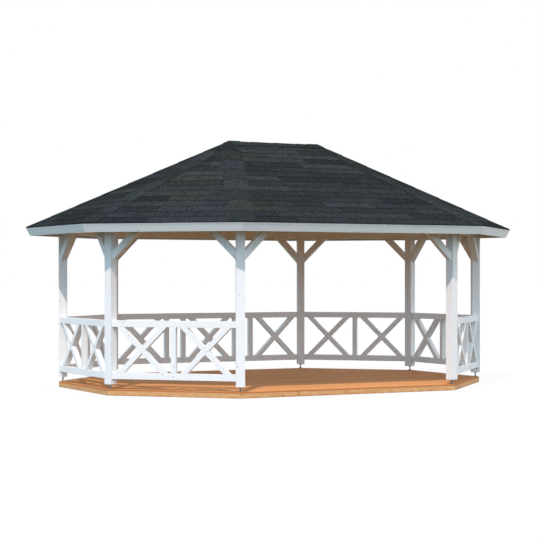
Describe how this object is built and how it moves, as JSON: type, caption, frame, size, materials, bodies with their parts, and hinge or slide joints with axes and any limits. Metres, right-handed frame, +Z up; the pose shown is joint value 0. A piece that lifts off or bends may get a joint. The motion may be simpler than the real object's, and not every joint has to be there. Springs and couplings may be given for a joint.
{
  "type": "garden gazebo",
  "caption": "Open garden gazebo on a stretched octagonal deck, with white posts, knee braces, cross-braced railings, an open front and a dark shingled hip roof.",
  "frame": {"origin": "middle of the floor's underside, on the ground", "axes": "+Z up; +X along the ridge, to the right seen from the open front; +Y from the open front to the back"},
  "size_m": [6.9546, 5.4644, 3.5883],
  "materials": {
    "white_timber": "white painted planed softwood",
    "deck_timber": "oiled orange-brown softwood boards",
    "foot_steel": "dull grey galvanised steel",
    "roof_shingle": "charcoal mineral-faced bitumen shingles"
  },
  "bodies": {
    "root": {"deck": "deck_timber", "floor_joists": "deck_timber", "floor_skirt": "deck_timber", "post_feet": "foot_steel", "post_front_right": "white_timber", "post_right_front": "white_timber", "post_right_back": "white_timber", "post_back_right": "white_timber", "post_back_left": "white_timber", "post_left_back": "white_timber", "post_left_front": "white_timber", "post_front_left": "white_timber", "beam_front": "white_timber", "beam_front_right": "white_timber", "beam_right": "white_timber", "beam_back_right": "white_timber", "beam_back": "white_timber", "beam_back_left": "white_timber", "beam_left": "white_timber", "beam_front_left": "white_timber", "braces_front": "white_timber", "braces_front_right": "white_timber", "braces_right": "white_timber", "braces_back_right": "white_timber", "braces_back": "white_timber", "braces_back_left": "white_timber", "braces_left": "white_timber", "braces_front_left": "white_timber", "railing_front_right": "white_timber", "railing_right": "white_timber", "railing_back_right": "white_timber", "railing_back": "white_timber", "railing_back_left": "white_timber", "railing_left": "white_timber", "railing_front_left": "white_timber", "hip_rafters": "white_timber", "common_rafters": "white_timber", "ridge_beam": "white_timber", "king_blocks": "white_timber", "roof_boards": "white_timber", "shingles": "roof_shingle", "fascia": "white_timber", "eave_trim": "white_timber"}
  },
  "joints": []
}
